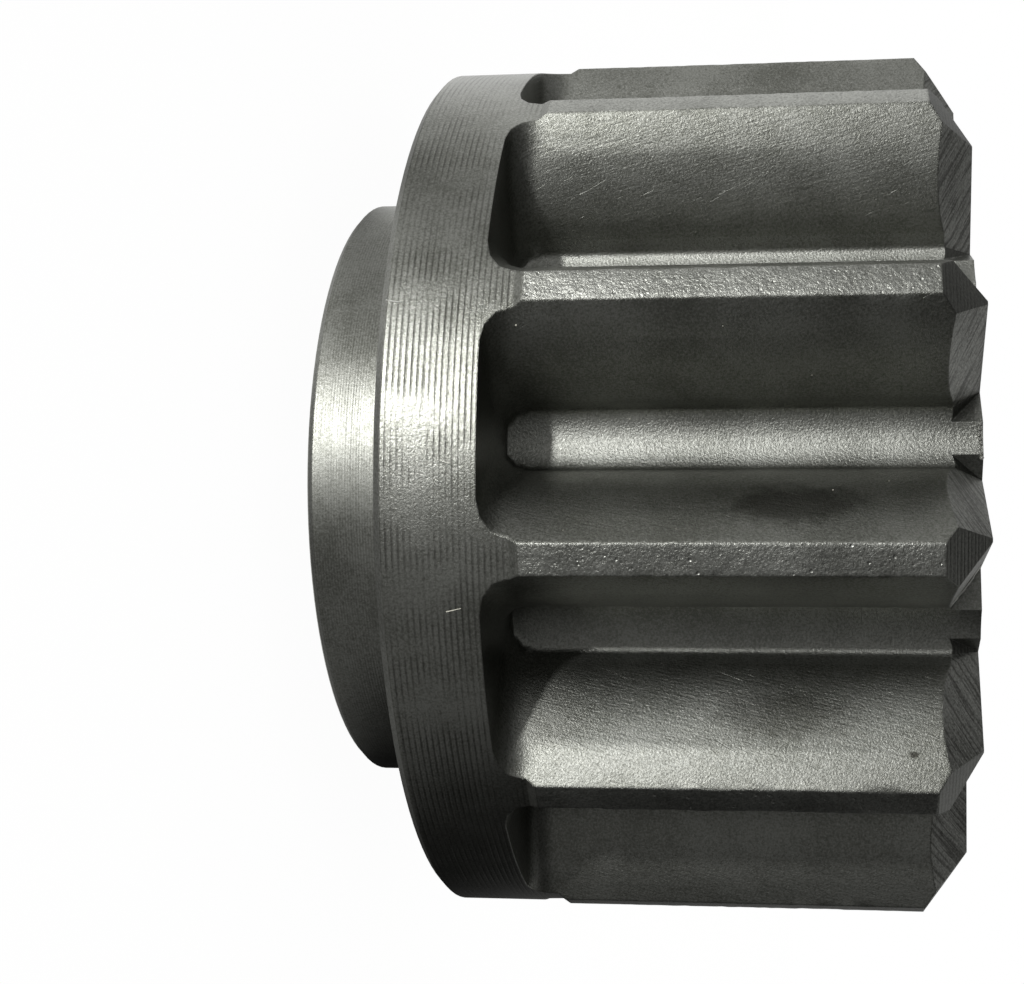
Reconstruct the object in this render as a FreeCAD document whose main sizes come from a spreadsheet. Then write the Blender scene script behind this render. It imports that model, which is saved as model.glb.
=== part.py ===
import FreeCAD, Part
import collections
import math
import os
import Sketcher

# Starter pinion: hub, collar and twelve teeth machined from one piece of steel.
# The axis is Z. The origin is the centre of the hub's rear face, and the teeth point to +Z.
# Lengths are in millimetres and angles in degrees.

SIZES = [
    ("tooth_count", 12, "teeth round the pinion"),
    ("gear_module", 3.0, "pitch circle diameter for each tooth"),
    ("pressure_angle", 20.0, "slope of the flanks at the pitch circle"),
    ("profile_shift", 0.5, "outward shift of the teeth, in modules"),
    ("tip_relief", 0.3, "turned off the tips, on the radius"),
    ("root_relief", 0.15, "left on the bottoms of the gaps, on the radius"),
    ("overall_length", 30.5, "rear face of the hub to the free end"),
    ("hub_length", 4.95, "rear face to the collar"),
    ("hub_edge_break", 0.3, "chamfer at the rear of the hub"),
    ("collar_thickness", 4.4, "collar's rear face to the wall that ends the gaps"),
    ("collar_edge_break", 0.33, "chamfer at the rear of the collar"),
    ("collar_reach", 1.3, "how far the collar's surface runs on between the gaps"),
    ("step_rise", 0.25, "collar's surface up to the tooth tips, on the radius"),
    ("step_length", 0.4, "length of the slope from the collar to the tips"),
    ("wall_fillet", 1.2, "radius where the teeth meet the collar"),
    ("end_cone_length", 2.1, "turned cone on the tips at the free end"),
    ("end_cone_depth", 2.75, "depth of that cone, on the radius"),
    ("bevel_length", 1.38, "flank bevels at the free end, along the axis"),
    ("wide_bevel", 1.93, "bevel into the tooth on its anticlockwise flank"),
    ("narrow_bevel", 1.35, "bevel into the tooth on its clockwise flank"),
    ("bevel_run_in", 1.25, "how far the bevels run on past the flanks towards the roots"),
    ("spline_bore", 18.6, "diameter over the tops of the splines"),
    ("spline_depth", 1.5, "depth of the spline grooves"),
    ("spline_groove_width", 2.5, "width of a spline groove"),
    ("spline_count", 12, "grooves round the bore"),
    ("spline_lead_in", 0.8, "chamfer at both ends of the splines"),
    ("seat_shoulder", 1.2, "seat for the stop ring outside the grooves, on the radius"),
    ("seat_depth", 6.0, "depth of that seat at the free end"),
    ("pocket_shoulder", 1.2, "pocket for the return spring outside the grooves, on the radius"),
    ("pocket_depth", 8.0, "depth of that pocket in the hub"),
    ("hub_wall", 3.35, "wall of the hub round the pocket"),
    ("mouth_break", 0.6, "chamfer at both mouths of the bore"),
]

# Margins by which the cutting tools overrun the steel.
OVERRUN = 1.0
FLANK_MARGIN = 0.9

# Fineness of the teeth: arcs that make up a flank, strips in a fillet, and how closely a flank's start is
# found, in radians.
FLANK_ARCS = 3
FILLET_STRIPS = 3
ROLL_TOLERANCE = 1e-9

# Places along the axis and on the radius that more than one feature uses, as sheet formulas.
COLLAR_FRONT = "(Sizes.hub_length + Sizes.collar_thickness)"
TIP_RADIUS = "(Sizes.gear_module * (Sizes.tooth_count / 2 + 1 + Sizes.profile_shift) - Sizes.tip_relief)"
COLLAR_RADIUS = f"({TIP_RADIUS} - Sizes.step_rise)"
SPLINE_RADIUS = "(Sizes.spline_bore / 2)"
GROOVE_RADIUS = f"({SPLINE_RADIUS} + Sizes.spline_depth)"
SEAT_RADIUS = f"({GROOVE_RADIUS} + Sizes.seat_shoulder)"
POCKET_RADIUS = f"({GROOVE_RADIUS} + Sizes.pocket_shoulder)"
HUB_RADIUS = f"({POCKET_RADIUS} + Sizes.hub_wall)"


Gear = collections.namedtuple("Gear", "base root half_gap first_roll tip_roll last_roll")


def make_sheet(doc):
    """Spreadsheet of the driving dimensions, one row each."""
    sheet = doc.addObject("Spreadsheet::Sheet", "Sizes")
    for row, (alias, number, meaning) in enumerate(SIZES, start=1):
        sheet.set(f"A{row}", alias)
        sheet.set(f"B{row}", str(number))
        sheet.set(f"C{row}", meaning)
        sheet.setAlias(f"B{row}", alias)
    doc.recompute()
    return sheet


def origin_feature(body, role):
    """Plane or axis of the body's own origin."""
    return next(item for item in body.Origin.OriginFeatures if item.Role == role)


def outline(sheet, body, name, role, corners):
    """Closed straight-sided sketch. Each corner is a pair of sheet formulas, tied to the origin."""
    sketch = body.newObject("Sketcher::SketchObject", name)
    sketch.AttachmentSupport = [(origin_feature(body, role), "")]
    sketch.MapMode = "FlatFace"
    places = [[sheet.evalExpression(formula) for formula in corner] for corner in corners]
    ends = places[1:] + places[:1]
    for start, end in zip(places, ends):
        sketch.addGeometry(Part.LineSegment(FreeCAD.Vector(*start, 0), FreeCAD.Vector(*end, 0)))
    for number in range(len(places)):
        follower = (number + 1) % len(places)
        sketch.addConstraint(Sketcher.Constraint("Coincident", number, 2, follower, 1))
    for number, corner in enumerate(corners):
        for kind, formula, distance in zip(("DistanceX", "DistanceY"), corner, places[number]):
            row = sketch.addConstraint(Sketcher.Constraint(kind, -1, 1, number, 1, distance))
            sketch.setExpression(f"Constraints[{row}]", formula)
    return sketch


def turned_profile():
    """Corners of the turned section as (radius, height), from the pocket's mouth round the outside."""
    top = "Sizes.overall_length"
    seat = f"({top} - Sizes.seat_depth)"
    slope = f"{COLLAR_FRONT} + Sizes.collar_reach"
    return [
        (f"{POCKET_RADIUS} + Sizes.mouth_break", "0"),
        (f"{HUB_RADIUS} - Sizes.hub_edge_break", "0"),
        (HUB_RADIUS, "Sizes.hub_edge_break"),
        (HUB_RADIUS, "Sizes.hub_length"),
        (f"{COLLAR_RADIUS} - Sizes.collar_edge_break", "Sizes.hub_length"),
        (COLLAR_RADIUS, "Sizes.hub_length + Sizes.collar_edge_break"),
        (COLLAR_RADIUS, slope),
        (TIP_RADIUS, f"{slope} + Sizes.step_length"),
        (TIP_RADIUS, f"{top} - Sizes.end_cone_length"),
        (f"{TIP_RADIUS} - Sizes.end_cone_depth", top),
        (f"{SEAT_RADIUS} + Sizes.mouth_break", top),
        (SEAT_RADIUS, f"{top} - Sizes.mouth_break"),
        (SEAT_RADIUS, seat),
        (f"{SPLINE_RADIUS} + Sizes.spline_lead_in", seat),
        (SPLINE_RADIUS, f"{seat} - Sizes.spline_lead_in"),
        (SPLINE_RADIUS, "Sizes.pocket_depth + Sizes.spline_lead_in"),
        (f"{SPLINE_RADIUS} + Sizes.spline_lead_in", "Sizes.pocket_depth"),
        (POCKET_RADIUS, "Sizes.pocket_depth"),
        (POCKET_RADIUS, "Sizes.mouth_break"),
    ]


def make_blank(doc, sheet):
    """Turned blank with its stepped bore and the spline grooves, before the teeth are cut."""
    body = doc.addObject("PartDesign::Body", "blank")
    body.Label = "turned_blank"

    section = outline(sheet, body, "turned_section", "XZ_Plane", turned_profile())
    turning = body.newObject("PartDesign::Revolution", "turning")
    turning.Profile = section
    turning.ReferenceAxis = (section, ["V_Axis"])
    turning.Angle = 360.0
    doc.recompute()

    half = "Sizes.spline_groove_width / 2"
    inside = f"{SPLINE_RADIUS} - Sizes.spline_depth"
    corners = [(inside, f"-{half}"), (GROOVE_RADIUS, f"-{half}"), (GROOVE_RADIUS, half), (inside, half)]
    groove_sketch = outline(sheet, body, "spline_sketch", "XY_Plane", corners)
    groove = body.newObject("PartDesign::Pocket", "spline_groove")
    groove.Profile = groove_sketch
    groove.Type = "ThroughAll"
    groove.Reversed = True
    doc.recompute()

    splines = body.newObject("PartDesign::PolarPattern", "splines")
    splines.Originals = [groove]
    splines.Axis = (origin_feature(body, "Z_Axis"), [""])
    splines.Angle = 360.0
    splines.setExpression("Occurrences", "Sizes.spline_count")
    body.Tip = splines
    doc.recompute()
    if not splines.Shape.Volume < groove.Shape.Volume < turning.Shape.Volume:
        raise RuntimeError("the spline grooves cut nothing")
    return body


def involute_roll(base, radius):
    """Roll angle at which an involute of this base circle reaches the radius."""
    return math.sqrt(max((radius / base) ** 2 - 1, 0))


def involute_point(base, half_gap, roll):
    """Point of the upper flank of the gap centred on +X, at this roll angle past the base circle."""
    angle = half_gap + roll
    across = base * (math.cos(angle) + roll * math.sin(angle))
    up = base * (math.sin(angle) - roll * math.cos(angle))
    return FreeCAD.Vector(across, up, 0)


def root_roll(base, root, half_gap, last_roll):
    """Roll angle at which one round root meets both flanks smoothly and just touches the root circle."""
    low, high = 0.0, last_roll
    while high - low > ROLL_TOLERANCE:
        middle = (low + high) / 2
        point = involute_point(base, half_gap, middle)
        radius = point.y / math.cos(half_gap + middle)
        bottom = point.x + radius * math.sin(half_gap + middle) - radius
        low, high = (middle, high) if bottom < root else (low, middle)
    return low


def make_gear(sheet):
    """Radii of the teeth, half the angle of a gap at the base circle, and where the flanks begin and end."""
    pressure = math.radians(sheet.pressure_angle)
    teeth = sheet.tooth_count
    base = sheet.gear_module * teeth / 2 * math.cos(pressure)
    root = sheet.gear_module * (teeth / 2 - 1.25 + sheet.profile_shift) + sheet.root_relief
    tip = sheet.gear_module * (teeth / 2 + 1 + sheet.profile_shift) - sheet.tip_relief
    tooth_half = (math.pi / 2 + 2 * sheet.profile_shift * math.tan(pressure)) / teeth
    half_gap = math.pi / teeth - tooth_half - (math.tan(pressure) - pressure)
    last_roll = involute_roll(base, tip + OVERRUN)
    first_roll = root_roll(base, root, half_gap, last_roll)
    return Gear(base, root, half_gap, first_roll, involute_roll(base, tip), last_roll)


def mirrored(point):
    """The same point on the lower flank of the gap."""
    return FreeCAD.Vector(point.x, -point.y, point.z)


def flank_edges(points):
    """Arcs that follow one flank, each through three of its points in turn."""
    starts = range(0, len(points) - 1, 2)
    return [Part.Arc(points[start], points[start + 1], points[start + 2]).toShape() for start in starts]


def gap_section(gear, inset, height):
    """Closed outline of a gap, drawn in all round by the inset. The involute is then the same, but turned."""
    turn = inset / gear.base
    first = gear.first_roll + turn
    steps = 2 * FLANK_ARCS
    rolls = [first + (gear.last_roll - first) * step / steps for step in range(steps + 1)]
    upper = [involute_point(gear.base, gear.half_gap - turn, roll) for roll in rolls]
    lower = [mirrored(point) for point in upper]
    bottom = FreeCAD.Vector(gear.root + inset, 0, 0)
    outside = FreeCAD.Vector(upper[-1].Length, 0, 0)
    root_edge = Part.Arc(lower[0], bottom, upper[0]).toShape()
    outer_edge = Part.Arc(upper[-1], outside, lower[-1]).toShape()
    edges = [root_edge] + flank_edges(upper) + [outer_edge] + flank_edges(lower[::-1])
    section = Part.Wire(edges)
    section.translate(FreeCAD.Vector(0, 0, height))
    return section


def gap_tool(sheet, gear):
    """Solid of one gap, from the collar to past the free end. Narrow strips make its fillet at the wall."""
    wall = sheet.hub_length + sheet.collar_thickness
    radius = sheet.wall_fillet
    sections = []
    for strip in range(FILLET_STRIPS + 1):
        angle = math.pi / 2 * strip / FILLET_STRIPS
        inset = radius * (1 - math.sin(angle))
        sections.append(gap_section(gear, inset, wall + radius * (1 - math.cos(angle))))
    sections.append(gap_section(gear, 0, sheet.overall_length + OVERRUN))
    return Part.makeLoft(sections, True, True)


def bevel_tool(sheet, gear, side, width):
    """Wedge that bevels one flank at the free end. Side is 1 for the upper flank and -1 for the lower."""
    inner = involute_point(gear.base, gear.half_gap, gear.first_roll)
    outer = involute_point(gear.base, gear.half_gap, gear.tip_roll)
    if side < 0:
        inner = mirrored(inner)
        outer = mirrored(outer)
    chord = outer - inner
    along = chord / chord.Length
    inward = FreeCAD.Vector(-along.y, along.x, 0) * side
    level = FreeCAD.Vector(0, 0, sheet.overall_length - sheet.bevel_length)
    foot = inner - along * sheet.bevel_run_in + level
    slope = sheet.bevel_length / width
    top = sheet.bevel_length + OVERRUN

    def place(into_tooth, height):
        return foot + inward * into_tooth + FreeCAD.Vector(0, 0, height)

    low = place(-FLANK_MARGIN, -FLANK_MARGIN * slope)
    corners = [low, place(top / slope, top), place(-FLANK_MARGIN, top), low]
    face = Part.Face(Part.makePolygon(corners))
    return face.extrude(chord + along * (sheet.bevel_run_in + OVERRUN))


def make_gaps(doc, sheet):
    """All the gaps between the teeth, with the flank bevels, as one cutting tool."""
    gear = make_gear(sheet)
    upper_bevel = bevel_tool(sheet, gear, 1, sheet.narrow_bevel)
    lower_bevel = bevel_tool(sheet, gear, -1, sheet.wide_bevel)
    one_gap = gap_tool(sheet, gear).multiFuse([upper_bevel, lower_bevel])
    centre = FreeCAD.Vector(0, 0, 0)
    axis = FreeCAD.Vector(0, 0, 1)
    copies = []
    for number in range(int(sheet.tooth_count)):
        copy = one_gap.copy()
        copy.rotate(centre, axis, 360.0 * number / sheet.tooth_count)
        copies.append(copy)
    gaps = doc.addObject("Part::Feature", "gaps")
    gaps.Label = "tooth_gaps"
    gaps.Shape = Part.makeCompound(copies)
    gaps.Placement = FreeCAD.Placement()
    return gaps


def make_pinion(doc, sheet):
    """The pinion: the blank less the gaps between its teeth."""
    pinion = doc.addObject("Part::Cut", "pinion")
    pinion.Base = make_blank(doc, sheet)
    pinion.Tool = make_gaps(doc, sheet)
    pinion.Label = "pinion"
    pinion.Placement = FreeCAD.Placement()
    doc.recompute()
    return pinion


def check(doc, parts):
    """Stop if any object failed, or if a part isn't one sound solid."""
    for item in doc.Objects:
        if "Invalid" in item.State or "Error" in item.State:
            raise RuntimeError(f"{item.Label} did not compute")
    for part in parts:
        if part.Shape.isNull() or not part.Shape.isValid() or len(part.Shape.Solids) != 1:
            raise RuntimeError(f"{part.Label} isn't one sound solid")


def main():
    doc = FreeCAD.newDocument("starter_pinion")
    sheet = make_sheet(doc)
    parts = [make_pinion(doc, sheet)]
    check(doc, parts)
    os.makedirs("parts", exist_ok=True)
    for part in parts:
        part.Shape.exportStep(f"parts/{part.Label}.step")
        box = part.Shape.optimalBoundingBox()
        print(part.Label, f"{box.XLength:.2f} x {box.YLength:.2f} x {box.ZLength:.2f} mm,")
        print(f"{part.Shape.Volume:.0f} cubic mm, {len(part.Shape.Faces)} faces")


main()
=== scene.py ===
# %% [markdown]
# # A starter pinion in steel
# This lesson dresses one machined part: the pinion of a starter drive, with twelve spur teeth, a round collar
# and a short hub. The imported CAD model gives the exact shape. What Blender adds is the surface: turning
# grooves, milling marks, scratches, pits and ragged edges, and the light that shows them.

# %% The frame
import math
import bmesh
import bpy
from mathutils import Matrix, Vector, noise


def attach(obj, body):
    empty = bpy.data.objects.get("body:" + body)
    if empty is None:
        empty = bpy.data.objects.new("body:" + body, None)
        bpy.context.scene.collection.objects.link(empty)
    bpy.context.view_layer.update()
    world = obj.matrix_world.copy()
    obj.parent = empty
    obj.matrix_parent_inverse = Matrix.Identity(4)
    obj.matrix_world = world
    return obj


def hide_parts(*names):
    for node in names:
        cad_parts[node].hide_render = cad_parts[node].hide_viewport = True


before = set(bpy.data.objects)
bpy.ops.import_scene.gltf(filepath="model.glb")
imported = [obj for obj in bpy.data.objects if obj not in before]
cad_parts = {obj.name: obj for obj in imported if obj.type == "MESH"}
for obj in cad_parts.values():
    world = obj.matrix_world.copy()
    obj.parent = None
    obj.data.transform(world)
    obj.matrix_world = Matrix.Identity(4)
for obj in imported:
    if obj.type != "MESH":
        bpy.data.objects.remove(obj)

MM = 0.001
NOISE_SEED = 7
noise.seed_set(NOISE_SEED)
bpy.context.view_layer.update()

# %% [markdown]
# ## The camera
# The part stands on its hub, and the photograph shows it on its side. So the camera is rolled by a quarter turn:
# its right-hand side points up along the part's axis. It looks at the teeth from a short distance, nearly square
# on, with the free end a little nearer. A small lens shift puts the axis where the photograph has it.

# %% The camera
PHOTO_WIDTH = 1024
FOCAL_PIXELS = 1573.56
SHIFT_PIXELS = (-128, -6)
FACING = math.radians(-82.726)
TILT = math.radians(6.1246)
ROLL = math.radians(-0.2464)
OUT = 85.43 * MM
HEIGHT = 22.95 * MM

up_axis = Vector((0, 0, 1))
outward = Vector((math.cos(FACING), math.sin(FACING), 0))
right = up_axis * math.cos(TILT) - outward * math.sin(TILT)
back = up_axis * math.sin(TILT) + outward * math.cos(TILT)
top = outward.cross(up_axis)
right, top = (right * math.cos(ROLL) + top * math.sin(ROLL),
              top * math.cos(ROLL) - right * math.sin(ROLL))

camera_data = bpy.data.cameras.new("camera")
camera_data.sensor_width = 36
camera_data.lens = camera_data.sensor_width * FOCAL_PIXELS / PHOTO_WIDTH
camera_data.shift_x, camera_data.shift_y = (pixels / PHOTO_WIDTH for pixels in SHIFT_PIXELS)
camera_data.clip_start = 1 * MM
camera = bpy.data.objects.new("camera", camera_data)
bpy.context.scene.collection.objects.link(camera)
place = Matrix((right, top, back)).transposed().to_4x4()
place.translation = outward * OUT + up_axis * HEIGHT
camera.matrix_world = place
bpy.context.scene.camera = camera
print("lens", round(camera_data.lens, 2), "mm")

# %% [markdown]
# ## The piece
# A CAD node comes in as loose triangles. It stays as it is, and a copy of it is merged, so that neighbouring
# faces share their corners and can be shaded smoothly.

# %% The merged copy
WELD = 0.002 * MM

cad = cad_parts["pinion"]
steel = bmesh.new()
steel.from_mesh(cad.data)
bmesh.ops.remove_doubles(steel, verts=steel.verts, dist=WELD)
print("merged copy:", len(steel.verts), "corners,", len(steel.faces), "faces")

# %% [markdown]
# ## Wider roots
# Between two teeth the hob leaves a round floor. In the photograph it is a little wider and flatter than the
# one arc of the CAD model. So the root's corners, and those of the fillet at its foot, are pushed inwards onto
# a wider arc, and the push fades out where the root meets the flanks.

# %% The roots
ROOT_START = 9.3 * MM
ROOT_RADIUS = 15.9 * MM
ROOT_TOP = 17.13 * MM
ROOT_ARC = 2.5 * MM
ROOT_HALF_WIDTH = 2 * MM
FADE_POWER = 8
GAP_PITCH = math.radians(30)

pushes = []
for vert in steel.verts:
    reach = math.hypot(vert.co.x, vert.co.y)
    if vert.co.z > ROOT_START and ROOT_RADIUS < reach < ROOT_TOP:
        angle = math.atan2(vert.co.y, vert.co.x)
        aside = abs(reach * math.sin(angle - round(angle / GAP_PITCH) * GAP_PITCH))
        drop = math.sqrt(ROOT_ARC ** 2 - min(aside, ROOT_HALF_WIDTH) ** 2)
        floor_reach = min(ROOT_RADIUS + ROOT_ARC - drop, reach)
        keep = ((reach - ROOT_RADIUS) / (ROOT_TOP - ROOT_RADIUS)) ** FADE_POWER
        factor = (floor_reach * (1 - keep) + reach * keep) / reach
        vert.co.x *= factor
        vert.co.y *= factor
        pushes.append(reach * (1 - factor))
print("root corners:", len(pushes), "pushed by", round(max(pushes) / MM, 2), "mm at most")

# %% [markdown]
# ## Short rows on the teeth
# A CAD tooth has faces that run its whole length, so its edges can't be uneven. Cutting the outside of the
# teeth every 0.3 mm gives each edge corners that the wear can move. Only faces near the tips are cut, which
# keeps the flanks light.

# %% Cuts along the teeth
LAND_START = 11.1 * MM
LAND_END = 28.35 * MM
ROW = 0.3 * MM
TIP_RADIUS = 22.2 * MM
TIP_DEPTH = 1.6 * MM
SNAP = 0.0005 * MM


def near_tip(vert):
    """True for a corner on or just under the outside of a tooth."""
    return math.hypot(vert.co.x, vert.co.y) > TIP_RADIUS - TIP_DEPTH


level = LAND_START
while level < LAND_END:
    faces = [f for f in steel.faces if all(near_tip(v) for v in f.verts)]
    edges = list({e for f in faces for e in f.edges})
    verts = list({v for f in faces for v in f.verts})
    bmesh.ops.bisect_plane(steel, geom=verts + edges + faces, dist=SNAP, plane_co=(0, 0, level),
                           plane_no=(0, 0, 1))
    level += ROW
print("after the cuts:", len(steel.faces), "faces")

# %% [markdown]
# ## Sorting the faces
# Smooth shading may only run over surfaces that are round on the real part. So each face is sorted by the cut
# that made it: turned, milled, hobbed or bored. Edges between two different cuts stay sharp, apart from the
# fillets at the foot of the teeth. A face's place and the way it looks tell its cut, with no list of faces.

# %% Finish of each face
SLACK = 0.02 * MM
HUB_LENGTH = 4.95 * MM
COLLAR_END = 11.05 * MM
COLLAR_RADIUS = 21.95 * MM
FILLET_TOP = 10.55 * MM
BORE_RADIUS = 12.7 * MM
RIM = 0.1 * MM
ENDWAYS = 0.9
SLOPED = 0.3
COLLAR_FACING = 0.85
CONE_FACING = 0.45
LAND_FACING = 0.9

FINISHES = ["turned_collar", "turned_hub", "faced_end", "milled_wall", "rough_land", "hobbed_flank",
            "hobbed_root", "turned_cone", "milled_bevel", "bored_inside"]


def finish_of(face):
    """Name of the finish that a face has, from where it lies and which way it looks."""
    centre = face.calc_center_median()
    radius = math.hypot(centre.x, centre.y)
    facing_out = (centre.x * face.normal.x + centre.y * face.normal.y) / radius
    facing_up = face.normal.z
    if radius < BORE_RADIUS:
        return "bored_inside"
    if centre.z < HUB_LENGTH - SLACK:
        return "faced_end" if facing_up < -ENDWAYS else "turned_hub"
    if facing_up < -ENDWAYS:
        return "faced_end"
    if facing_up > ENDWAYS:
        return "milled_wall" if centre.z < COLLAR_END else "faced_end"
    if centre.z < LAND_START and radius > COLLAR_RADIUS - RIM and facing_out > COLLAR_FACING:
        return "turned_collar"
    if centre.z > FILLET_TOP and facing_up > SLOPED:
        return "turned_cone" if facing_out > CONE_FACING else "milled_bevel"
    if facing_out > LAND_FACING and radius > TIP_RADIUS - RIM:
        return "rough_land"
    return "hobbed_root" if radius < ROOT_TOP else "hobbed_flank"


counts = dict.fromkeys(FINISHES, 0)
for face in steel.faces:
    finish = finish_of(face)
    face.material_index = FINISHES.index(finish)
    face.smooth = True
    counts[finish] += 1
print(counts)

# %% Sharp and smooth edges
SMOOTH_PAIRS = [{"milled_wall", "hobbed_flank"}, {"milled_wall", "hobbed_root"},
                {"hobbed_flank", "hobbed_root"}]
SHARPEST = math.radians(40)

for edge in steel.edges:
    kinds = {FINISHES[f.material_index] for f in edge.link_faces}
    bent = edge.calc_face_angle(0) > SHARPEST
    edge.smooth = (len(kinds) == 1 or kinds in SMOOTH_PAIRS) and not bent
print("smooth edges:", sum(edge.smooth for edge in steel.edges), "of", len(steel.edges))

# %% [markdown]
# ## Worn edges
# Hardening and handling leave the long edges of the lands ragged by a few hundredths of a millimetre. Relief in
# the shading can't show that against the dark gaps, so the corners themselves are moved, sideways and a little
# inwards. The wear fades out near both ends of a land.

# %% Wear
WEAR = 0.07 * MM
WEAR_START = 12.0 * MM
WEAR_END = 27.6 * MM
WEAR_FADE = 1 * MM
INWARD_SHARE = 0.5
GRAIN = 0.45 * MM

land_index = FINISHES.index("rough_land")
worn_corners = 0
for vert in steel.verts:
    touching = {f.material_index for f in vert.link_faces}
    if land_index in touching and len(touching) > 1 and LAND_START < vert.co.z < LAND_END:
        fade = min(1.0, (vert.co.z - WEAR_START) / WEAR_FADE, (WEAR_END - vert.co.z) / WEAR_FADE)
        offset = noise.noise_vector(vert.co / GRAIN) * WEAR * max(fade, 0.0)
        inward = Vector((vert.co.x, vert.co.y, 0)).normalized() * -INWARD_SHARE * abs(offset.z)
        side = Vector((-vert.co.y, vert.co.x, 0)).normalized() * offset.x
        vert.co += inward + side
        worn_corners += 1
print("worn corners:", worn_corners)

# %% The dressed pinion
pinion_mesh = bpy.data.meshes.new("pinion_steel")
steel.to_mesh(pinion_mesh)
steel.free()
pinion = bpy.data.objects.new("pinion_steel", pinion_mesh)
bpy.context.scene.collection.objects.link(pinion)
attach(pinion, "root")
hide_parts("pinion")
print("pinion_steel:", len(pinion_mesh.polygons), "faces")

# %% [markdown]
# ## Small helpers for materials
# Colours are picked as sRGB hex values, and the shader wants linear light, so one function turns them. A second
# one adds a node with its settings and links, which keeps each material readable from top to bottom.

# %% Helpers for materials
MULTIPLY = {"operation": "MULTIPLY"}
MULTIPLY_ADD = {"operation": "MULTIPLY_ADD"}
MAXIMUM = {"operation": "MAXIMUM"}
LENGTH = {"operation": "LENGTH"}
SMOOTH_STEP = {"interpolation_type": "SMOOTHSTEP"}
COLOURS = {"data_type": "RGBA"}


def linear(hex_code):
    """sRGB hex colour as linear RGBA."""
    parts = [int(hex_code[i:i + 2], 16) / 255 for i in (1, 3, 5)]
    return tuple(c / 12.92 if c <= 0.04045 else ((c + 0.055) / 1.055) ** 2.4 for c in parts) + (1.0,)


def add(tree, kind, settings=None, **inputs):
    """Adds a node with its settings. Inputs go by socket name, or by i and number. Each is a value, a socket,
    or a node, which gives its first output."""
    node = tree.nodes.new(kind)
    for name, value in (settings or {}).items():
        setattr(node, name, value)
    for name, value in inputs.items():
        socket = node.inputs[int(name[1:]) if name[1:].isdigit() else name.replace("_", " ")]
        if isinstance(value, bpy.types.Node):
            value = value.outputs[0]
        if isinstance(value, bpy.types.NodeSocket):
            tree.links.new(value, socket)
        else:
            socket.default_value = value
    return node


# %% [markdown]
# ## What the steel has in common
# The part is one piece of case-hardened steel, so every finish starts from the same grey metal, with a trace of
# warmth from old oil. A bare metal has metallic at 1, and its colour is what it mirrors. Each cut then adds its
# own marks as relief, and its own roughness. The Bevel node rounds the edges by a tenth of a millimetre or two
# in the shading alone, which gives the thin bright lines that real edges have.

# %% Shared steel
# The cones, lands, roots and bevels use darker or lighter copies of this steel: painted shade and painted light.
STEEL = "#959690"
STEEL_DARK = "#6e6f68"
# dark colour of the real stains, and of the painted shade in grooves, hollows, mill lines and the dent
SMUDGE_AND_SHADE = "#2e2c26"
CLOUD_SIZE = 4.0
SPECK_SIZE = 0.11
BEVEL_SAMPLES = 4


def new_steel(name):
    """Material with an empty tree and its object coordinates in mm: vector, X, Y, Z, distance from the axis."""
    material = bpy.data.materials.new(name)
    material.use_nodes = True
    tree = material.node_tree
    tree.nodes.clear()
    place = add(tree, "ShaderNodeTexCoord").outputs["Object"]
    vector = add(tree, "ShaderNodeVectorMath", {"operation": "SCALE"}, i0=place, Scale=1 / MM)
    apart = add(tree, "ShaderNodeSeparateXYZ", i0=vector).outputs
    flat = add(tree, "ShaderNodeVectorMath", MULTIPLY, i0=vector, i1=(1, 1, 0))
    radius = add(tree, "ShaderNodeVectorMath", LENGTH, i0=flat).outputs["Value"]
    return material, tree, (vector, apart["X"], apart["Y"], apart["Z"], radius)


def finish_steel(tree, vector, heights, roughness, edge=0.1, smudge_and_shade=None, dark=STEEL_DARK, light=STEEL):
    """Shader of bare steel. Heights are pairs of a height and its depth in mm, and edge is a rounding in mm."""
    normal = add(tree, "ShaderNodeBevel", {"samples": BEVEL_SAMPLES}, Radius=edge * MM)
    for height, depth in heights:
        normal = add(tree, "ShaderNodeBump", Height=height, Distance=depth * MM, Strength=1.0, Normal=normal)
    cloud = add(tree, "ShaderNodeTexNoise", Vector=vector, Scale=1 / CLOUD_SIZE, Detail=4.0, Roughness=0.6)
    specks = add(tree, "ShaderNodeTexNoise", Vector=vector, Scale=1 / SPECK_SIZE, Detail=2.0, Roughness=0.7)
    mottle = add(tree, "ShaderNodeMath", MULTIPLY_ADD, i0=specks, i1=1.5, i2=cloud)
    shade = add(tree, "ShaderNodeMapRange", SMOOTH_STEP, Value=mottle, i1=0.85, i2=1.6)
    colour = add(tree, "ShaderNodeMix", COLOURS, Factor=shade, i6=linear(dark), i7=linear(light)).outputs[2]
    # darkens towards that colour: real stains, and painted shade in recesses
    if smudge_and_shade is not None:
        colour = add(tree, "ShaderNodeMix", COLOURS, Factor=smudge_and_shade, i6=colour, i7=linear(SMUDGE_AND_SHADE)).outputs[2]
    rough = add(tree, "ShaderNodeMath", MULTIPLY_ADD, i0=cloud, i1=0.12, i2=roughness - 0.06)
    shader = add(tree, "ShaderNodeBsdfPrincipled", Base_Color=colour, Metallic=1.0, Roughness=rough,
                 Normal=normal)
    add(tree, "ShaderNodeOutputMaterial", Surface=shader)


# %% [markdown]
# ## Turned surfaces
# A lathe tool leaves one fine groove that runs round and round. Its pitch is the tool's feed: about a quarter
# of a millimetre on the collar, and half of that on the hub. A wave along the axis gives the even pitch, a
# noise squeezed along the axis makes the steel between the grooves uneven, and wear wipes some stretches out.
# The grooves carry a painted shade in the colour, so they read as thin dark lines.


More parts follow.
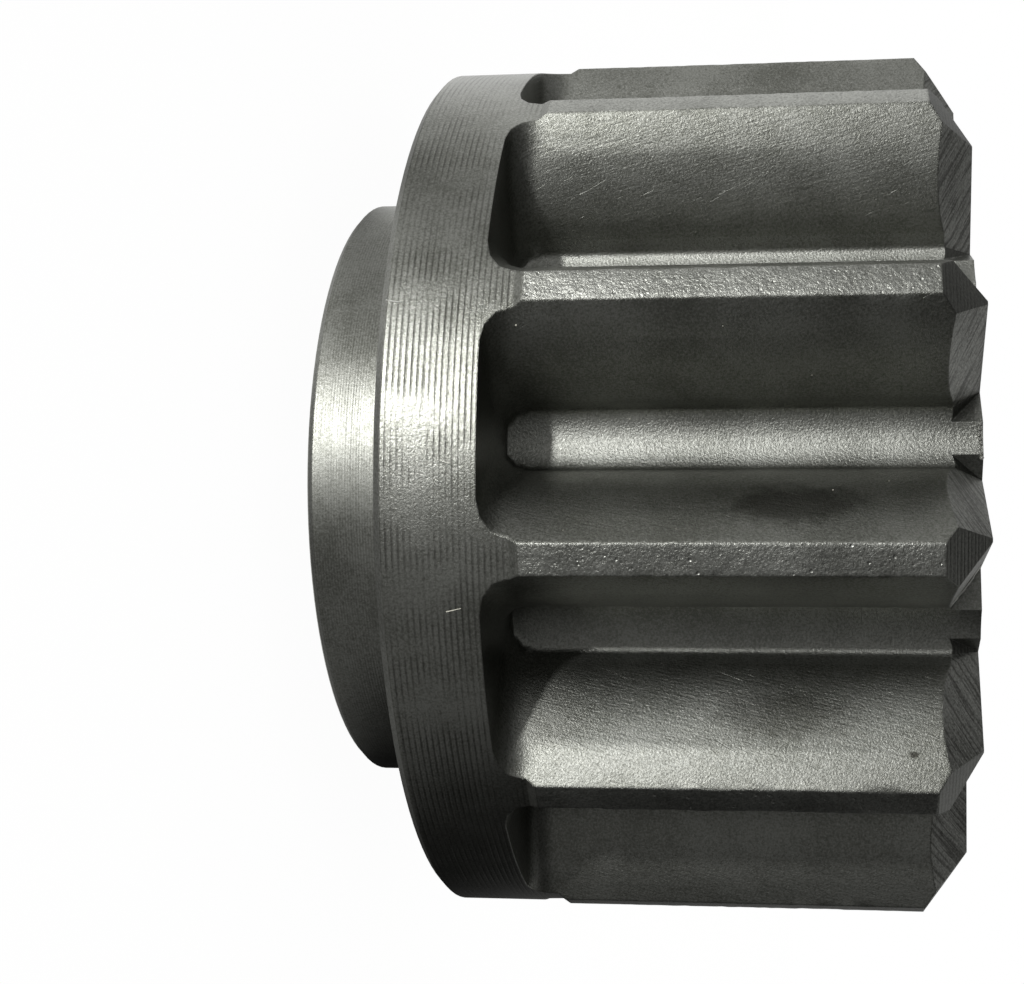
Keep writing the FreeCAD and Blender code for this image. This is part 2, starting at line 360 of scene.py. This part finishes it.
# %% Grooves of the lathe tool
def grooves(tree, travel, pitch):
    """Narrow lines across the direction of travel, from 0 to 1, with their pitch in mm."""
    turns = add(tree, "ShaderNodeMath", MULTIPLY, i0=travel, i1=2 * math.pi / pitch)
    wave = add(tree, "ShaderNodeMath", {"operation": "SINE"}, i0=turns)
    half = add(tree, "ShaderNodeMath", MULTIPLY_ADD, i0=wave, i1=0.5, i2=0.5)
    return add(tree, "ShaderNodeMath", {"operation": "POWER"}, i0=half, i1=3.0)


def stretched(tree, parts, per_mm, detail=3.0):
    """Noise on three sockets, each with its own number of grains per millimetre."""
    first, second, third = [add(tree, "ShaderNodeMath", MULTIPLY, i0=part, i1=count)
                            for part, count in zip(parts, per_mm)]
    vector = add(tree, "ShaderNodeCombineXYZ", i0=first, i1=second, i2=third)
    return add(tree, "ShaderNodeTexNoise", Vector=vector, Scale=1.0, Detail=detail, Roughness=0.6)


# %% Turned steel
RING_PER_MM = 0.02
RINGS_PER_GROOVE = 1.9
WORN_SIZE = 2.5
TURNED_GRAIN = 0.10
# painted shade: a darker copy of the steel for the cone faces
CONE_SHADED_TONES = {"dark": "#53544f", "light": "#74756f"}


def turned(name, along, pitch, depth, roughness, ragged, grain, groove_shade=0.3, dark=STEEL_DARK, light=STEEL):
    """Steel turned with a feed of this pitch. Along is z for a round side and radius for a flat face."""
    material, tree, (vector, x, y, z, radius) = new_steel(name)
    travel = z if along == "z" else radius
    rings = stretched(tree, (x, y, travel), (RING_PER_MM, RING_PER_MM, RINGS_PER_GROOVE / pitch), 4.0)
    rubbed = add(tree, "ShaderNodeTexNoise", Vector=vector, Scale=1 / WORN_SIZE, Detail=3.0, Roughness=0.6)
    left = add(tree, "ShaderNodeMapRange", SMOOTH_STEP, Value=rubbed, i1=0.3, i2=0.65)
    lines = add(tree, "ShaderNodeMath", MULTIPLY, i0=grooves(tree, travel, pitch), i1=left)
    fine = add(tree, "ShaderNodeTexNoise", Vector=vector, Scale=1 / TURNED_GRAIN, Detail=3.0, Roughness=0.7)
    # painted shade: the colour darkens along the grooves
    smudge_and_shade = add(tree, "ShaderNodeMath", MULTIPLY, i0=lines, i1=groove_shade)
    heights = [(lines, -depth), (rings, ragged), (fine, grain)]
    finish_steel(tree, vector, heights, roughness, 0.1, smudge_and_shade, dark, light)
    return material


materials = {
    "turned_collar": turned("turned_collar", "z", pitch=0.26, depth=0.012, roughness=0.32, ragged=0.010,
                            grain=0.015, groove_shade=0.5),
    "turned_hub": turned("turned_hub", "z", pitch=0.13, depth=0.003, roughness=0.39, ragged=0.012, grain=0.006),
    "faced_end": turned("faced_end", "radius", pitch=0.18, depth=0.005, roughness=0.42, ragged=0.012,
                        grain=0.008),
    "turned_cone": turned("turned_cone", "z", pitch=0.16, depth=0.010, roughness=0.36, ragged=0.014,
                          grain=0.008, **CONE_SHADED_TONES),
    "bored_inside": turned("bored_inside", "z", pitch=0.2, depth=0.005, roughness=0.45, ragged=0.015,
                           grain=0.008),
    "milled_wall": turned("milled_wall", "radius", pitch=0.22, depth=0.006, roughness=0.38, ragged=0.012,
                          grain=0.008),
}
print("turned finishes:", len(materials))

# %% [markdown]
# ## Rough lands
# The outsides of the teeth kept the skin of hardening: a rough, pitted surface with bright rubbed specks. Two
# noises of different grain make it, and small round pits come from the cells of a Voronoi texture. A painted
# shade darkens only the hollows of the grain, so the tops stay bright.

# %% Lands
# painted light: a lighter copy of the steel that lifts the lands' highlights
LAND_LIT_TONES = {"dark": "#7c7d77", "light": "#a9aaa4"}
LAND_GRAIN = 0.13
LUMP_SIZE = 0.5
PIT_SPACING = 1 / 1.9


def rough_land():
    """Pitted skin of hardening."""
    material, tree, (vector, x, y, z, radius) = new_steel("rough_land")
    grain = add(tree, "ShaderNodeTexNoise", Vector=vector, Scale=1 / LAND_GRAIN, Detail=3.0, Roughness=0.7)
    lumps = add(tree, "ShaderNodeTexNoise", Vector=vector, Scale=1 / LUMP_SIZE, Detail=2.0, Roughness=0.5)
    cells = add(tree, "ShaderNodeTexVoronoi", Vector=vector, Scale=1 / PIT_SPACING)
    pits = add(tree, "ShaderNodeMapRange", SMOOTH_STEP, Value=cells, i1=0.06, i2=0.18)
    # painted shade: the hollows of the grain are darkened
    hollows = add(tree, "ShaderNodeMapRange", SMOOTH_STEP, Value=grain, i1=0.42, i2=0.28)
    smudge_and_shade = add(tree, "ShaderNodeMath", MULTIPLY, i0=hollows, i1=0.55)
    heights = [(lumps, 0.030), (grain, 0.030), (pits, 0.02)]
    finish_steel(tree, vector, heights, 0.34, 0.2, smudge_and_shade, **LAND_LIT_TONES)
    return material


materials["rough_land"] = rough_land()
print("finishes so far:", len(materials))

# %% [markdown]
# ## Flanks and roots
# A hob cuts the flanks and roots and leaves a fine grain. Rubbing against the ring gear adds hair scratches
# that climb towards the tip as they run to the free end. The pattern is laid out on the distance from the axis
# and the height along it, so that it follows every flank alike without an unwrapping. Two soft stains lie where
# the photograph shows them, and so does a small dent, which is only a painted shade with no relief.


# %% Patterns of the flanks
def slanted(tree, z, radius, degrees):
    """Two nodes: the way along marks that climb by this angle, and the way across them."""
    lean = math.radians(degrees)
    level_part = add(tree, "ShaderNodeMath", MULTIPLY, i0=z, i1=math.cos(lean))
    along = add(tree, "ShaderNodeMath", MULTIPLY_ADD, i0=radius, i1=math.sin(lean), i2=level_part)
    down_part = add(tree, "ShaderNodeMath", MULTIPLY, i0=z, i1=-math.sin(lean))
    across = add(tree, "ShaderNodeMath", MULTIPLY_ADD, i0=radius, i1=math.cos(lean), i2=down_part)
    return along, across


def patch(tree, vector, centre, reach):
    """Soft ragged spot from 0 to 1 round a point, with its reach along X, Y and Z in mm."""
    apart = add(tree, "ShaderNodeVectorMath", {"operation": "SUBTRACT"}, i0=vector, i1=centre)
    scaled = add(tree, "ShaderNodeVectorMath", {"operation": "DIVIDE"}, i0=apart, i1=reach)
    far = add(tree, "ShaderNodeVectorMath", LENGTH, i0=scaled).outputs["Value"]
    rim = add(tree, "ShaderNodeTexNoise", Vector=vector, Scale=1 / 0.7, Detail=4.0, Roughness=0.6)
    ragged = add(tree, "ShaderNodeMath", {"operation": "ADD"}, i0=far, i1=rim)
    return add(tree, "ShaderNodeMapRange", SMOOTH_STEP, Value=ragged, i1=1.65, i2=1.0)


# %% Flanks
SPOTS_AND_DENT_SHADE = [  # centre and reach in mm, and how dark: a smudge, a brown stain and a dent
    ((3.3, -20.0, 22.4), (1.5, 1.5, 3.1), 0.62),
    ((12.0, -15.4, 21.7), (1.2, 1.2, 3.4), 0.42),
    # a dent, drawn only as a painted shade
    ((13.64, -15.90, 27.36), (0.16, 0.16, 0.22), 0.8),
]
HAIRS_PER_MM = 9.0
FLANK_GRAIN = 0.10


def hobbed_flank():
    """Fine grain with hair scratches at two slants, the stains, and the painted shade of a dent."""
    material, tree, (vector, x, y, z, radius) = new_steel("hobbed_flank")
    x_part = add(tree, "ShaderNodeMath", MULTIPLY, i0=x, i1=0.4)
    tooth = add(tree, "ShaderNodeMath", MULTIPLY_ADD, i0=y, i1=0.3, i2=x_part)
    along, across = slanted(tree, z, radius, 24)
    hairs = stretched(tree, (along, across, tooth), (0.3, HAIRS_PER_MM, 1.0))
    scratches = add(tree, "ShaderNodeMapRange", SMOOTH_STEP, Value=hairs, i1=0.68, i2=0.76)
    along, across = slanted(tree, z, radius, 12)
    fine_hairs = stretched(tree, (along, across, tooth), (0.8, HAIRS_PER_MM, 1.0))
    grain = add(tree, "ShaderNodeTexNoise", Vector=vector, Scale=1 / FLANK_GRAIN, Detail=3.0, Roughness=0.75)
    smudge_and_shade = 0.0
    for centre, reach, strength in SPOTS_AND_DENT_SHADE:
        spot_dark = add(tree, "ShaderNodeMath", MULTIPLY, i0=patch(tree, vector, centre, reach), i1=strength)
        smudge_and_shade = add(tree, "ShaderNodeMath", MAXIMUM, i0=smudge_and_shade, i1=spot_dark)
    heights = [(fine_hairs, 0.013), (scratches, -0.006), (grain, 0.020)]
    finish_steel(tree, vector, heights, 0.38, 0.17, smudge_and_shade)
    return material


# %% Roots
# painted light: a lighter copy of the steel that lifts the roots' highlight
ROOT_LIT_TONES = {"dark": "#767771", "light": "#9d9e98"}
ROOT_GRAIN = 0.11


def hobbed_root():
    """The same cut as on the flanks, in a lighter copy of the steel that is painted light, with faint streaks
    along the axis and no scratches.
    """
    material, tree, (vector, x, y, z, radius) = new_steel("hobbed_root")
    streaks = stretched(tree, (x, y, z), (1.5, 1.5, 0.4))
    grain = add(tree, "ShaderNodeTexNoise", Vector=vector, Scale=1 / ROOT_GRAIN, Detail=3.0, Roughness=0.75)
    finish_steel(tree, vector, [(streaks, 0.008), (grain, 0.028)], 0.38, 0.05, **ROOT_LIT_TONES)
    return material


materials["hobbed_flank"] = hobbed_flank()
materials["hobbed_root"] = hobbed_root()
print("finishes so far:", len(materials))

# %% [markdown]
# ## Milled bevels
# The bevels on the tooth ends are cut by a small mill, which leaves coarse slanting lines about a quarter of a
# millimetre apart. A noise drawn out along the slant gives lines of uneven depth, and the deepest get a painted
# shade.

# %% Bevels
# painted light: a lighter copy of the steel for the bevels
BEVEL_LIT_TONES = {"dark": "#7b7c76", "light": "#b9bab4"}
BEVEL_GRAIN = 0.12
MILL_SLANT = 34
LINES_PER_MM = 4.6


def milled_bevel():
    """Coarse slanting lines of a mill."""
    material, tree, (vector, x, y, z, radius) = new_steel("milled_bevel")
    along, across = slanted(tree, z, radius, MILL_SLANT)
    marks = stretched(tree, (along, across, x), (0.2, LINES_PER_MM, 0.3), 4.0)
    lines = add(tree, "ShaderNodeMapRange", SMOOTH_STEP, Value=marks, i1=0.52, i2=0.40)
    grain = add(tree, "ShaderNodeTexNoise", Vector=vector, Scale=1 / BEVEL_GRAIN, Detail=2.0, Roughness=0.5)
    # painted shade in the deepest mill lines
    smudge_and_shade = add(tree, "ShaderNodeMath", MULTIPLY, i0=lines, i1=0.5)
    finish_steel(tree, vector, [(marks, 0.07), (grain, 0.008)], 0.40, 0.06, smudge_and_shade, **BEVEL_LIT_TONES)
    return material


materials["milled_bevel"] = milled_bevel()
for finish in FINISHES:
    pinion_mesh.materials.append(materials[finish])
print("finishes:", len(pinion_mesh.materials))

# %% [markdown]
# ## Small marks
# The cutters left burrs: a thin bright lip along one bevel and crumbs at the end of one root. The collar has a
# nick in its rear edge. Burrs and nick are made of a much lighter steel, a painted highlight that makes them
# glint.
# A fibre and some dust lie on the steel. Each is a few small rods or balls that sit half in the surface, at the
# places where the photograph shows them.


# %% Rods and balls
def rod(shape, start, end, thickness):
    """Adds a thin six-sided rod between two points, all in millimetres."""
    start, end = Vector(start) * MM, Vector(end) * MM
    turn = (end - start).to_track_quat("Z", "Y").to_matrix().to_4x4()
    turn.translation = (start + end) / 2
    radius = thickness / 2 * MM
    bmesh.ops.create_cone(shape, cap_ends=True, segments=6, radius1=radius, radius2=radius * 0.6,
                          depth=(end - start).length, matrix=turn)


def ball(shape, centre, size):
    """Adds a small ball, in millimetres."""
    bmesh.ops.create_icosphere(shape, subdivisions=1, radius=size / 2 * MM,
                               matrix=Matrix.Translation(Vector(centre) * MM))


def small_piece(name, shape, material):
    """Turns a finished shape into a piece that rides with the part."""
    mesh = bpy.data.meshes.new(name)
    shape.to_mesh(mesh)
    shape.free()
    mesh.materials.append(material)
    piece = bpy.data.objects.new(name, mesh)
    bpy.context.scene.collection.objects.link(piece)
    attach(piece, "root")
    print(name + ":", len(mesh.polygons), "faces")


# %% Burrs and nick
LIP = [(5.50, -15.86, 30.30), (6.05, -15.98, 29.95), (6.55, -16.18, 29.58), (6.98, -16.66, 29.20),
       (7.31, -17.15, 28.92)]
LIP_THICKNESS = 0.13
CRUMBS = 9
CRUMB_SIZE = 0.11
CRUMB_HEIGHT = 30.36
FIRST_CRUMB = -92.9
CRUMB_STEP = 0.75
CRUMB_REACH = 15.97
JITTER = 0.16

burr_shape = bmesh.new()
for start, end in zip(LIP, LIP[1:]):
    rod(burr_shape, start, end, LIP_THICKNESS)
for step in range(CRUMBS):
    angle = math.radians(FIRST_CRUMB + step * CRUMB_STEP)
    jitter = noise.noise_vector(Vector((step * 3.7, 1.3, 0.4))) * JITTER
    reach = CRUMB_REACH + jitter.x * 0.5
    ball(burr_shape, (reach * math.cos(angle), reach * math.sin(angle), CRUMB_HEIGHT + jitter.z),
         CRUMB_SIZE + abs(jitter.y) * 1.4)
rod(burr_shape, (-5.25, -21.30, 5.22), (-5.13, -21.35, 5.88), 0.07)

burr_glint_steel, tree, (vector, x, y, z, radius) = new_steel("burr_glint_steel")
torn = add(tree, "ShaderNodeTexNoise", Vector=vector, Scale=1 / 0.1, Detail=2.0, Roughness=0.5)
# painted highlight: this steel is much lighter than the part's, so the burrs and the nick glint
finish_steel(tree, vector, [(torn, 0.01)], 0.35, 0.02, dark="#c0c0ba", light="#dcdcd6")
small_piece("burrs", burr_shape, burr_glint_steel)

# %% Fibre and dust
SPECKS = [  # place and size in mm
    ((-4.18, -20.88, 10.73), 0.09), ((-4.04, -20.75, 19.43), 0.05), ((-0.93, -16.22, 15.06), 0.07),
    ((4.51, -21.15, 12.91), 0.05), ((4.47, -21.12, 17.56), 0.05), ((2.66, -19.27, 23.95), 0.06),
    ((2.21, -18.62, 26.29), 0.04), ((-2.31, -18.78, 23.10), 0.04),
]
FIBRE_THICKNESS = 0.045

dust_shape = bmesh.new()
rod(dust_shape, (7.85, -20.52, 7.96), (7.71, -20.57, 8.59), FIBRE_THICKNESS)
for place, size in SPECKS:
    ball(dust_shape, place, size)
dust = bpy.data.materials.new("dust")
dust.use_nodes = True
tree = dust.node_tree
tree.nodes.clear()
lint = add(tree, "ShaderNodeBsdfPrincipled", Base_Color=linear("#b4b2a6"), Roughness=0.9)
add(tree, "ShaderNodeOutputMaterial", Surface=lint)
small_piece("dust", dust_shape, dust)

# %% [markdown]
# ## Floor and background
# The background of the photograph is white paper. The floor and the world turn white for rays that come
# straight from the camera or off the shiny steel, and light the object plainly otherwise. The key lamp stands
# low, so the floor casts no shadow itself, but it still shows the part's own.


# %% White paper
PAPER = "#f4f4f2"
WHITENESS = 0.97
FLOOR_RADIUS = 2.0


def sight_of(tree):
    """1 for rays of sight, which are camera, glossy and transmission rays, and 0 for the others."""
    path = add(tree, "ShaderNodeLightPath").outputs
    seen = add(tree, "ShaderNodeMath", MAXIMUM, i0=path["Is Camera Ray"], i1=path["Is Glossy Ray"])
    return add(tree, "ShaderNodeMath", MAXIMUM, i0=seen, i1=path["Is Transmission Ray"])


floor_mesh = bpy.data.meshes.new("floor")
disc = bmesh.new()
bmesh.ops.create_circle(disc, cap_ends=True, segments=96, radius=FLOOR_RADIUS)
disc.to_mesh(floor_mesh)
disc.free()
floor = bpy.data.objects.new("floor", floor_mesh)
bpy.context.scene.collection.objects.link(floor)
floor.visible_shadow = False

paper = bpy.data.materials.new("white_paper")
paper.use_nodes = True
tree = paper.node_tree
tree.nodes.clear()
matt = add(tree, "ShaderNodeBsdfDiffuse", Color=linear(PAPER))
white = add(tree, "ShaderNodeEmission", Color=(1, 1, 1, 1), Strength=1.0)
amount = add(tree, "ShaderNodeMath", MULTIPLY, i0=sight_of(tree), i1=WHITENESS)
mixed = add(tree, "ShaderNodeMixShader", i0=amount, i1=matt, i2=white)
add(tree, "ShaderNodeOutputMaterial", Surface=mixed)
floor_mesh.materials.append(paper)
print("floor radius in m:", FLOOR_RADIUS)

# %% White world
world = bpy.data.worlds.new("studio")
bpy.context.scene.world = world
world.use_nodes = True
tree = world.node_tree
tree.nodes.clear()
plain = add(tree, "ShaderNodeBackground", Color=(1, 1, 1, 1), Strength=1.0)
white = add(tree, "ShaderNodeBackground", Color=(1, 1, 1, 1), Strength=1.0)
mixed = add(tree, "ShaderNodeMixShader", i0=sight_of(tree), i1=plain, i2=white)
add(tree, "ShaderNodeOutputWorld", Surface=mixed)
print("world:", world.name)

# %% [markdown]
# ## Cards round the steel
# Bare metal looks grey and flat where it mirrors nothing but white. So, like a photographer, the scene puts
# dark cards round the steel, out of the camera's sight: a ball all round, and a disc just over the floor. Only
# reflections see them. Their grey changes with direction, in soft patches that put the bright and dark bands
# of the photograph on the teeth.

# %% The two cards
CARD_DISTANCE = 0.5
CARD_CENTRE = 0.02
CARD_LIFT = 0.05 * MM


def card_of(name, shape):
    """Turns a shape into a staged card that only reflections see."""
    mesh = bpy.data.meshes.new(name)
    shape.to_mesh(mesh)
    shape.free()
    card = bpy.data.objects.new(name, mesh)
    bpy.context.scene.collection.objects.link(card)
    card.visible_camera = False
    card.visible_diffuse = False
    card.visible_shadow = False
    card.visible_transmission = False
    return card


around_shape = bmesh.new()
bmesh.ops.create_icosphere(around_shape, subdivisions=4, radius=CARD_DISTANCE)
bmesh.ops.translate(around_shape, verts=around_shape.verts, vec=(0, 0, CARD_CENTRE))
under_shape = bmesh.new()
bmesh.ops.create_circle(under_shape, cap_ends=True, segments=64, radius=CARD_DISTANCE)
bmesh.ops.translate(under_shape, verts=under_shape.verts, vec=(0, 0, CARD_LIFT))
cards = [card_of("cards", around_shape), card_of("card_under", under_shape)]
print("cards:", len(cards))


# %% The paint of the cards
def around(degrees, lift):
    """Direction at this angle round the axis, from the camera's side upwards in the photo, lifted to +Z."""
    turn, lean = math.radians(degrees), math.radians(lift)
    flat = outward * math.cos(turn) + top * math.sin(turn)
    return flat * math.cos(lean) + up_axis * math.sin(lean)


PATCHES = [  # angle round the axis, lift, sharpness, strength
    (320, 0, 12, 0.15), (340, 0, 12, 0.10), (0, 0, 12, 0.05), (20, 0, 12, 0.40), (40, 0, 12, 0.44),
    (60, 0, 12, 0.06), (80, 0, 12, 0.20), (100, 0, 12, 0.85), (120, 0, 12, 0.35), (140, 0, 12, 0.55),
    (160, 0, 12, 0.65), (180, 0, 12, 0.25), (200, 0, 12, 0.10), (220, 0, 12, 0.06),
    (40, 45, 8, 0.12), (120, 45, 8, 0.32), (200, 45, 8, 0.25), (240, 45, 8, 0.35),
    (80, -40, 8, 0.06), (120, -40, 8, 0.05),
]

grey = bpy.data.materials.new("grey_card")
grey.use_nodes = True
tree = grey.node_tree
tree.nodes.clear()
place = add(tree, "ShaderNodeTexCoord").outputs["Object"]
way = add(tree, "ShaderNodeVectorMath", {"operation": "NORMALIZE"}, i0=place)
total = 0.0
for degrees, lift, sharpness, strength in PATCHES:
    facing = add(tree, "ShaderNodeVectorMath", {"operation": "DOT_PRODUCT"}, i0=way,
                 i1=around(degrees, lift).normalized()).outputs["Value"]
    towards = add(tree, "ShaderNodeMath", MAXIMUM, i0=facing, i1=0.0)
    glow = add(tree, "ShaderNodeMath", {"operation": "POWER"}, i0=towards, i1=sharpness)
    total = add(tree, "ShaderNodeMath", MULTIPLY_ADD, i0=glow, i1=strength, i2=total)
light = add(tree, "ShaderNodeEmission", Color=(1, 1, 1, 1), Strength=total)
add(tree, "ShaderNodeOutputMaterial", Surface=light)
for card in cards:
    card.data.materials.append(grey)
print("patches of light on the cards:", len(PATCHES))

# %% [markdown]
# ## The key lamp
# One small lamp draws the hard shadows and the bright bands. It stands low on the hub's side, a little below
# the camera in the photograph, and throws the collar's shadow onto the roots. Light that only steel mirrors
# already comes from the cards, so the lamp isn't sampled as a mirror image too.

# %% The key lamp
KEY_ANGLE = math.radians(-25)
KEY_LIFT = math.radians(-20)
KEY_DISTANCE = 0.4
KEY_SIZE = 0.018
KEY_WATTS = 0.86
AIM_HEIGHT = 18 * MM

key_data = bpy.data.lights.new("key", "AREA")
key_data.shape = "SQUARE"
key_data.size = KEY_SIZE
key_data.energy = KEY_WATTS
key_data.cycles.use_multiple_importance_sampling = False
key = bpy.data.objects.new("key", key_data)
bpy.context.scene.collection.objects.link(key)
azimuth = FACING + KEY_ANGLE
flat = Vector((math.cos(azimuth), math.sin(azimuth), 0))
direction = flat * math.cos(KEY_LIFT) + up_axis * math.sin(KEY_LIFT)
key.location = up_axis * AIM_HEIGHT + direction * KEY_DISTANCE
key.rotation_mode = "QUATERNION"
key.rotation_quaternion = direction.to_track_quat("Z", "Y")
print("key lamp at", [round(c, 3) for c in key.location])

# %% View settings and the end
bpy.context.scene.view_settings.view_transform = "Standard"
